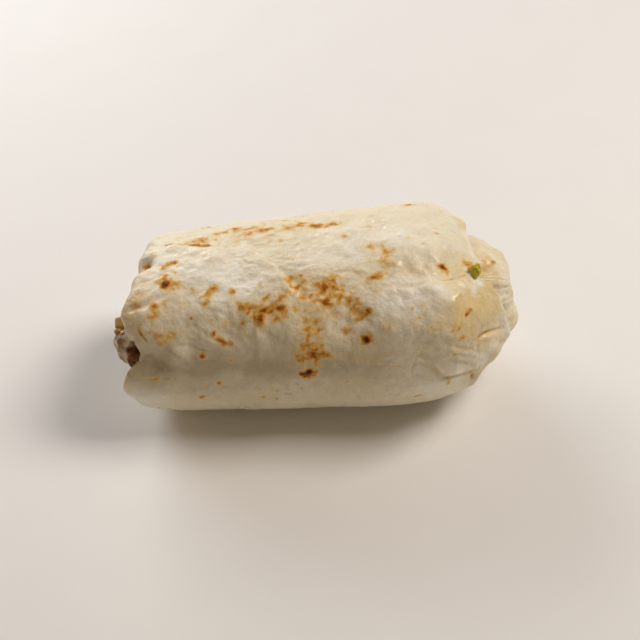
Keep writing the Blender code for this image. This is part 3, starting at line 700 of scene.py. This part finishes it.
def tortilla_material():
    """Floury skin with cream and oily patches, painted shade and painted highlights, browned by the stored
    toast.
    """
    made, tree, shader = material("toasted_tortilla")
    place = tree.nodes.new("ShaderNodeTexCoord").outputs["Object"]
    broad = noise(tree, place, 60, 3, 0.6)
    mottle = noise(tree, place, 300, 5, 0.65, 0.3)
    fine = noise(tree, place, 1300, 3, 0.6)
    specks = noise(tree, place, 800, 2, 0.5)
    toast = attribute(tree, "toast")

    floury = mix(tree, spread(tree, mottle, 0.36, 0.66), FLOUR_DULL, FLOUR_WHITE)
    warm = mix(tree, spread(tree, broad, 0.38, 0.68, 0.0, 0.5), floury, FLOUR_WARM)
    creamy = mix(tree, spread(tree, attribute(tree, "cream"), 0, 1, 0, 0.85), warm, CREAM)
    # Thick flour, and painted highlights on lit ridges, slopes and the rim's edge.
    dusted = mix(tree, spread(tree, attribute(tree, "flour_and_highlight"), 0, 1, 0, 0.8), creamy, THICK_FLOUR_AND_HIGHLIGHT)
    # Oil: greasy yellow patches, their darker colour also painted shade on the right lobe.
    oily = mix(tree, spread(tree, attribute(tree, "oil_and_shade"), 0, 1, 0, 0.8), dusted, OIL_AND_SHADE)
    # Painted shade: darker, yellower skin along the shaded front band, in folds and in hollows.
    painted_shade = mix(tree, spread(tree, attribute(tree, "painted_shade"), 0, 1, 0, 0.9), oily, PAINTED_SHADE_COLOUR)
    dotted = mix(tree, spread(tree, specks, 0.68, 0.78, 0.0, 0.3), painted_shade, FLECK)

    uneven = math_node(tree, "ADD", spread(tree, mottle, 0.3, 0.7, -0.22, 0.22),
                       spread(tree, fine, 0.3, 0.7, -0.07, 0.07))
    heat = math_node(tree, "MULTIPLY_ADD", uneven, spread(tree, toast, 0.02, 0.5), toast)
    browning = ramp(tree, math_node(tree, "MULTIPLY", heat, 0.8), BROWNING)
    colour = mix(tree, spread(tree, heat, 0.02, 0.30), dotted, browning)
    wire(tree, colour, shader.inputs["Base Color"])

    wet = spread(tree, noise(tree, place, 110, 3, 0.6), 0.48, 0.62, 0.0, -0.24)
    dry = math_node(tree, "ADD", spread(tree, mottle, 0.3, 0.7, 0.44, 0.62), wet)
    greasy = math_node(tree, "MULTIPLY_ADD", attribute(tree, "oil_and_shade"), -0.1, dry)
    wire(tree, greasy, shader.inputs["Roughness"])

    skin = bump(tree, fine, 0.2, 0.0004)
    lumps = bump(tree, noise(tree, place, 260, 2, 0.5), 0.6, 0.0012, skin)
    wire(tree, lumps, shader.inputs["Normal"])
    shader.inputs["Subsurface Weight"].default_value = 0.15
    shader.inputs["Subsurface Radius"].default_value = (1.0, 0.55, 0.25)
    shader.inputs["Subsurface Scale"].default_value = 0.0025
    wire(tree, spread(tree, toast, 0.12, 0.6, 0.5, 0.1), shader.inputs["Specular IOR Level"])
    wire(tree, spread(tree, attribute(tree, "oil_and_shade"), 0.1, 0.9, 0.0, 0.2), shader.inputs["Coat Weight"])
    shader.inputs["Coat Roughness"].default_value = 0.3
    return made


def plain_food_material(name, colours, scale, roughness, height, subsurface=0.1, shine=0.5):
    """A mottled food surface: two or more colours mixed by noise."""
    made, tree, shader = material(name)
    place = tree.nodes.new("ShaderNodeTexCoord").outputs["Object"]
    patches = noise(tree, place, scale, 4, 0.6, 0.6)
    fine = noise(tree, place, scale * 4, 3)
    stops = [(0.32 + 0.36 * index / (len(colours) - 1), colour) for index, colour in enumerate(colours)]
    wire(tree, ramp(tree, patches, stops), shader.inputs["Base Color"])
    wire(tree, spread(tree, fine, 0.3, 0.7, roughness - 0.1, roughness + 0.12), shader.inputs["Roughness"])
    skin = bump(tree, fine, 0.4, height / 3)
    wire(tree, bump(tree, patches, 0.6, height, skin), shader.inputs["Normal"])
    shader.inputs["Specular IOR Level"].default_value = shine
    shader.inputs["Subsurface Weight"].default_value = subsurface
    shader.inputs["Subsurface Radius"].default_value = (1.0, 0.5, 0.2)
    shader.inputs["Subsurface Scale"].default_value = 0.002
    return made


# ---------------- pieces
def mesh_piece(name, points, faces, look, node):
    """A smooth mesh piece that stands for a CAD node and rides on the body."""
    data = bpy.data.meshes.new(name)
    data.from_pydata(points.tolist(), [], faces)
    data.shade_smooth()
    piece = bpy.data.objects.new(name, data)
    bpy.context.collection.objects.link(piece)
    data.materials.append(look)
    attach(piece, "root")
    if node:
        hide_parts(node)
    return piece


def ring_faces(rows, columns):
    """Quads between rows of points, then fans to a first and a last pole."""
    faces = []
    for row in range(rows - 1):
        base = row * columns
        for index in range(columns):
            after = (index + 1) % columns
            faces.append((base + index, base + after, base + columns + after, base + columns + index))
    first, last = rows * columns, rows * columns + 1
    top = (rows - 1) * columns
    for index in range(columns):
        after = (index + 1) % columns
        faces.append((after, index, first))
        faces.append((top + index, top + after, last))
    return [face[::-1] for face in faces]


def store(piece, name, values):
    """Stores a number at each point of the mesh."""
    field = piece.data.attributes.new(name, "FLOAT", "POINT")
    field.data.foreach_set("value", np.asarray(values, np.float32))


def browned(points, face_depth, bulging, groove_shade, warp):
    """How toasted each point is: placed and random spots, painted shade in the groove behind the rim, the
    nook and the bulge.
    """
    spots = list(SPOTS) + list(TINTS)
    for choice in RANDOM_SPOTS:
        spots += random_spots(*choice)
    broken = ease(0.5 + 0.8 * rough(points, 1.9 * MM, 57, 3))
    toast = spot_strength(points, spots, warp) * (0.55 + 0.6 * broken)
    # Painted shade: the groove behind the rim, and the bulge beside it, browned darker to stand for their
    # shade.
    toast += 0.24 * groove_shade * (0.8 + 0.4 * warp)
    away = np.linalg.norm(points / MM - NOOK, axis=1) / NOOK_SIZE + 0.4 * warp
    toast += NOOK_STRENGTH * ease(1.5 - away) * (face_depth < 1)
    for x, y, z, size, strength in BULGE_MARKS:
        away = np.linalg.norm(points / MM - (x, y, z), axis=1) / size + 0.5 * warp
        toast += strength * ease(1.4 - away) * (bulging > 0.5)
    return toast


def skin_lift(points, turns, toast, pleats, bulging, rim_bead_and_highlight):
    """Lumps of filling under the sheet, its wrinkles and folds, and the puffed skin of the spots."""
    lift = 0.75 * MM * rough(points, 17 * MM, 21, 2) + 0.50 * MM * rough(points, 7.5 * MM, 25, 2)
    lift += lump_field(points, LUMPS)
    stretched = points * (0.55, 1, 1)
    wrinkled = 1 - np.abs(grain(stretched, 3.2 * MM, 31))
    finer = 1 - np.abs(grain(stretched, 1.6 * MM, 33))
    patchy = ease(grain(points, 14 * MM, 35) + 0.4)
    near_seam = np.exp(-((seam_distance(points[:, 0], turns) + 3 * MM) / (9 * MM)) ** 2)
    right = ease((points[:, 0] - 34 * MM) / (20 * MM))
    lift -= 0.22 * MM * wrinkled**4 * (0.05 + 0.65 * patchy + 0.4 * near_seam + 0.6 * right)
    lift -= 0.12 * MM * finer**3 * (0.6 * patchy + 0.4 * near_seam)
    lift += 0.13 * MM * rough(points, 2.6 * MM, 41, 2)
    lift += 0.20 * MM * np.clip(toast, 0, 0.8)
    folds = np.sin(np.radians(turns) * 9 + 5 * grain(points * (0.4, 1, 1), 13 * MM, 45))
    lift += 0.55 * MM * pleats * folds * (0.4 + 0.6 * ease(grain(points, 20 * MM, 47) + 0.6))
    lift += 0.6 * MM * rim_bead_and_highlight
    return lift + bulging * 0.55 * MM * rough(points, 5.5 * MM, 49, 3)


def patch(along, upper, place):
    """A soft patch round (x in mm, angle), 1 at its middle."""
    x, angle, length, width = place
    return np.exp(-(((along - x) / length) ** 2) - ((upper - angle) / width) ** 2)


def band(values, middle, width):
    """A soft band, 1 along its middle."""
    return np.exp(-(((values - middle) / width) ** 2))


def store_stains(piece, points, upper):
    """Stores where the skin is oily (partly painted shade), creamy, and painted darker as painted shade."""
    along = points[:, 0] / MM
    patches = rough(points, 9 * MM, 51)
    # Oily patches; those on the right lobe are partly painted shade.
    oil_and_shade = patch(along, upper, OILY_SHOULDER) * ease(patches * 0.8 + 0.6)
    oil_and_shade += 0.8 * band(along, OILY_RIM_X, OILY_RIM_LENGTH) * ease(patches * 0.9 + 0.3)
    oil_and_shade += 0.6 * patch(along, upper, OILY_EDGE) * (0.7 + 0.4 * patches)
    oil_and_shade += 0.6 * patch(along, upper, OILY_LOBE)
    off_top = np.abs((upper - 50 + 180) % 360 - 180)
    cream = ease((64 - off_top) / 40 + 0.5 * ease((along - 10) / 40) + 0.3 * patches)
    cream += 0.7 * ease((upper - 186) / 20 + 0.2 * patches) * ease((300 - upper) / 40 + 0.2 * patches)
    # Painted shade: a darker band along the front, a fainter one above it, and patches in shaded folds and
    # hollows.
    painted_shade = band(upper, *PAINTED_SHADE_BAND) * ease((34 - along) / 22) * (1 + 0.5 * ease(-along / 30 - 1))
    painted_shade += 0.3 * band(upper, *PAINTED_SHADE_ABOVE) * ease((6 - along) / 20)
    for strength, place in ((1.0, PAINTED_SHADE_LOBE), (0.4, PAINTED_SHADE_FRONT), (0.45, PAINTED_SHADE_FOLD), (0.5, PAINTED_SHADE_CORNER)):
        painted_shade += strength * patch(along, upper, place)
    painted_shade *= np.clip(0.85 + 0.35 * patches, 0, 1)
    for name, values in (("painted_shade", painted_shade), ("oil_and_shade", oil_and_shade), ("cream", cream)):
        store(piece, name, np.clip(values, 0, 1))


def make_tortilla():
    """The sheet: rings from the hollow over the left face, the wall and the rim to the bulge's tip."""
    angles = column_angles()
    face = left_face(angles)
    hollow = hollow_rings(angles, face)
    edge = eased(RIGHT_EDGE, angles, 360) * MM
    wall_rings = [wall(LEFT_WALL_END + (edge - LEFT_WALL_END) * share, angles)
                  for share in np.linspace(0, 1, WALL_RINGS)]
    end_rings, pole = right_end(angles)
    rings = hollow + face[::-1] + wall_rings + end_rings
    grid = np.stack(rings)
    rows = len(rings)
    points = grid.reshape(-1, 3)
    normals = -grid_normals(grid).reshape(-1, 3)
    turns = np.tile(angles, rows)

    ring_index = np.repeat(np.arange(rows), COLUMNS)
    skin = ring_index >= len(hollow) - len(LIP_TURNS)
    face_depth = (len(hollow) + FACE_RINGS - ring_index) / FACE_RINGS
    tuck_depth = (ring_index - (rows - BULGE_RINGS)) / BULGE_RINGS
    pleats = ease(face_depth / 0.4 - 0.3) * (face_depth <= 1)
    bulging = ease(tuck_depth / 0.15)
    behind_rim = ring_index >= rows - BULGE_RINGS - GROOVE_RINGS
    # Painted shade in the groove, fading over the bulge next to it.
    groove_shade = behind_rim * np.clip(1 - tuck_depth / 0.4, 0, 1)
    # The rim's edge: a raised bead, also painted white as a painted highlight along its lit edge.
    rim_bead_and_highlight = band(np.tile(edge, rows) - points[:, 0], 0, RIM_BEAD_AND_HIGHLIGHT_WIDTH) * (~behind_rim & (points[:, 0] > 0))

    warp = rough(points, 2.6 * MM, 11, 4)
    toast = browned(points, face_depth, bulging, groove_shade, warp)
    # Flour where it lies thick, partly painted light on lit ridges and slopes, and the painted highlight of
    # the rim's edge.
    flour_and_highlight = np.maximum(spot_strength(points, FLOURED_AND_LIT, 0.7 * warp) * (1 - bulging), rim_bead_and_highlight)
    wobble = 0.5 * MM * np.stack([grain(points, 2.4 * MM, seed) for seed in (61, 62, 63)], axis=1)
    depth, stain_and_shade = crease_fields(points, CREASES, wobble)
    lift = skin_lift(points, turns, toast, pleats, bulging, rim_bead_and_highlight) - depth
    # The underside, which is pressed flat, moves less.
    soft = np.clip(1 - np.maximum(-normals[:, 2], 0), 0, 1)
    lift = np.where(skin, lift * (0.3 + 0.7 * soft), 0)
    points = points + normals * lift[:, None]
    points[:, 2] = np.maximum(points[:, 2], 0)
    inner_pole = grid[0].mean(axis=0) + np.array([3 * MM, 0, 0])
    points = np.concatenate([points, [inner_pole], [pole]])
    points[:, 0] += SHIFT_X
    points[:, 1] += SHIFT_Y

    piece = mesh_piece("tortilla_sheet", points, ring_faces(rows, COLUMNS), tortilla_material(),
                       "tortilla")
    at_poles = [0, 0]
    store_stains(piece, points, np.concatenate([turns, at_poles]))
    store(piece, "toast", np.concatenate([toast + stain_and_shade, at_poles]))
    store(piece, "flour_and_highlight", np.clip(np.concatenate([flour_and_highlight, at_poles]), 0, 1))
    return piece


def blob(name, centre, sizes, bumps, seed, look, node, turns=(0, 0, 0), power=2.0, level=5):
    """A rounded lump, in mm: a fine sphere squared off by power and roughened by bumps (height, size)."""
    mesh = bmesh.new()
    bmesh.ops.create_icosphere(mesh, subdivisions=level, radius=1)
    points = np.array([tuple(vertex.co) for vertex in mesh.verts])
    reach = (np.abs(points) ** power).sum(axis=1) ** (-1 / power)
    points = points * reach[:, None] * np.array(sizes) * MM / 2
    out = points / np.linalg.norm(points, axis=1)[:, None]
    for index, (height, size) in enumerate(bumps):
        points = points + out * (height * MM * rough(points, size * MM, seed + 10 * index, 2))[:, None]
    rotation = np.array(Euler(np.radians(turns)).to_matrix())
    points = points @ rotation.T + np.array(centre) * MM + (SHIFT_X, SHIFT_Y, 0)
    faces = [tuple(vertex.index for vertex in face.verts) for face in mesh.faces]
    mesh.free()
    return mesh_piece(name, points, faces, look, node)


def make_filling():
    """The lump in the mouth and what shows round it."""
    meat = plain_food_material(
        "filling_mix", ((0.05, 0.045, 0.02), (0.30, 0.22, 0.12), (0.58, 0.46, 0.31), (0.66, 0.56, 0.41)),
        240, 0.5, 0.0006, 0.1, 0.3)
    # The dark core and bits of sauce: brown sauce, partly painted shade of the recess inside the mouth.
    sauce_and_shade = plain_food_material(
        "brown_sauce_and_shade", ((0.03, 0.010, 0.003), (0.14, 0.050, 0.012), (0.30, 0.13, 0.035)),
        300, 0.42, 0.0006, 0.0, 0.15)
    centre, sizes, bumps, power = LUMP
    blob("filling_lump", centre, sizes, bumps, 71, meat, "filling", power=power)
    centre, sizes, bumps, power = CORE
    blob("filling_core", centre, sizes, bumps, 81, sauce_and_shade, None, power=power)
    looks = [meat]
    for name, colours, roughness, subsurface in MORSEL_COLOURS:
        looks.append(plain_food_material(name, colours, 500, roughness, 0.0003, subsurface))
    dice = np.random.default_rng(207)
    for index in range(MORSELS):
        lip = mouth_ring(np.array([dice.uniform(0, 360)]))[0]
        reach = dice.uniform(*MORSEL_REACH)
        place = np.array([lip[0] / MM + dice.uniform(*MORSEL_SINK),
                          (MOUTH_Y + (lip[1] - MOUTH_Y) * reach) / MM,
                          (MOUTH_Z + (lip[2] - MOUTH_Z) * reach) / MM])
        size = dice.uniform(*MORSEL_SIZE)
        sizes = (size, size * dice.uniform(0.6, 1.0), size * dice.uniform(0.5, 0.9))
        blob(f"morsel_{index}", place, sizes, ((0.5, 2.2), (0.2, 0.9)), 300 + index,
             looks[dice.choice(len(looks), p=MORSEL_LOOKS)], None,
             tuple(dice.uniform(0, 180, 3)), 2.6, 4)
    for index, (x, y, z, size) in enumerate(SAUCE_AND_SHADE_BITS):
        blob(f"sauce_shade_{index}", (x, y, z), (size, size * 0.7, size), ((0.4, 2.2), (0.15, 0.9)),
             440 + index, sauce_and_shade, None, (0, 30 * index, 0), 2.4, 4)
    for index, (x, y, z, size) in enumerate(GLISTENING):
        blob(f"glisten_{index}", (x, y, z), (size, size * 0.8, size * 0.6), ((0.2, 1.4),),
             400 + index, looks[-1], None, (0, 20 * index, 0), 2.4, 4)


def make_trimmings():
    """The strip on the lump and the green bit in the notch of the rim."""
    cheese = plain_food_material("soft_cheese", ((0.54, 0.32, 0.10), (0.63, 0.41, 0.165)),
                                 300, 0.4, 0.0003, 0.1, 0.3)
    centre, sizes, bumps, power = SLAB
    blob("cheese_slab", centre, sizes, bumps, 91, cheese, "cheese_strip",
         (14, 0, 0), power)
    green = plain_food_material(
        "wet_pepper", ((0.26, 0.21, 0.004), (0.46, 0.37, 0.008), (0.66, 0.58, 0.06)),
        420, 0.14, 0.0003, 0.1)
    x, angle = PEPPER_PLACE
    nook = wall(np.array([x * MM]), np.array([angle]))[0] / MM
    sizes, bumps, turns, power = PEPPER
    blob("pepper_chunk", nook - (0, 0, PEPPER_SINK), sizes, bumps, 95, green,
         "pepper_bit", turns, power)


# ---------------- floor, light and camera
def make_stage():
    """A plain pale floor."""
    bpy.ops.mesh.primitive_plane_add(size=4, location=(0, 0, -0.0002))
    floor = bpy.context.object
    floor.name = "floor"
    made, tree, shader = material("pale_floor")
    place = tree.nodes.new("ShaderNodeTexCoord").outputs["Object"]
    tone = mix(tree, noise(tree, place, 30, 3), FLOOR_DARK, FLOOR_PALE)
    wire(tree, tone, shader.inputs["Base Color"])
    shader.inputs["Roughness"].default_value = 0.6
    floor.data.materials.append(made)


LIGHT_AIM = (0, 0, 0.03)


def soft_light(name, place, size, power, colour):
    """A rectangular soft light aimed at the middle of the roll."""
    lamp = bpy.data.lights.new(name, "AREA")
    lamp.shape = "RECTANGLE"
    lamp.size, lamp.size_y = size
    lamp.energy = power
    lamp.color = colour
    item = bpy.data.objects.new(name, lamp)
    item.location = place
    item.rotation_euler = (Vector(LIGHT_AIM) - Vector(place)).to_track_quat("-Z", "Y").to_euler()
    bpy.context.collection.objects.link(item)


def make_lights():
    """Soft studio light, warm from the front, and a faint room."""
    soft_light("key", (0.7, 0.1, 1.0), (0.5, 0.5), 10.6, (1.0, 0.93, 0.86))
    soft_light("window_behind", (-0.5, 0.8, 0.5), (0.8, 0.5), 7, (0.96, 0.98, 1.0))
    soft_light("front_fill", (0.1, -1.2, 0.75), (1.4, 1.0), 2.2, (1.0, 0.82, 0.55))
    soft_light("warm_left", (-1.0, 0.1, 0.4), (0.6, 0.6), 0.9, (1.0, 0.55, 0.25))
    world = bpy.data.worlds.new("room")
    world.use_nodes = True
    background = world.node_tree.nodes["Background"]
    background.inputs["Color"].default_value = (1.0, 0.95, 0.89, 1)
    background.inputs["Strength"].default_value = 0.05
    bpy.context.scene.world = world
    bpy.context.scene.view_settings.view_transform = "Standard"


CAMERA_DISTANCE, CAMERA_RISE, CAMERA_TURN = 0.4925, 45.0, -3.6
CAMERA_AIM = (0.0006, 0.00065, 0.0294)
IMAGE_SIDE, FOCAL_PIXELS, SENSOR = 640, 1200, 36.0


def make_camera():
    """The camera, at the height and turn the burrito is seen from."""
    data = bpy.data.cameras.new("camera")
    data.sensor_width = SENSOR
    data.lens = SENSOR * FOCAL_PIXELS / IMAGE_SIDE
    data.clip_start, data.clip_end = 0.01, 20
    camera = bpy.data.objects.new("camera", data)
    turn, rise = math.radians(CAMERA_TURN), math.radians(CAMERA_RISE)
    back = Vector((math.sin(turn) * math.cos(rise), -math.cos(turn) * math.cos(rise), math.sin(rise)))
    camera.location = Vector(CAMERA_AIM) + back * CAMERA_DISTANCE
    camera.rotation_euler = (-back).to_track_quat("-Z", "Y").to_euler()
    bpy.context.collection.objects.link(camera)
    bpy.context.scene.camera = camera


make_camera()
make_tortilla()
make_filling()
make_trimmings()
make_stage()
make_lights()
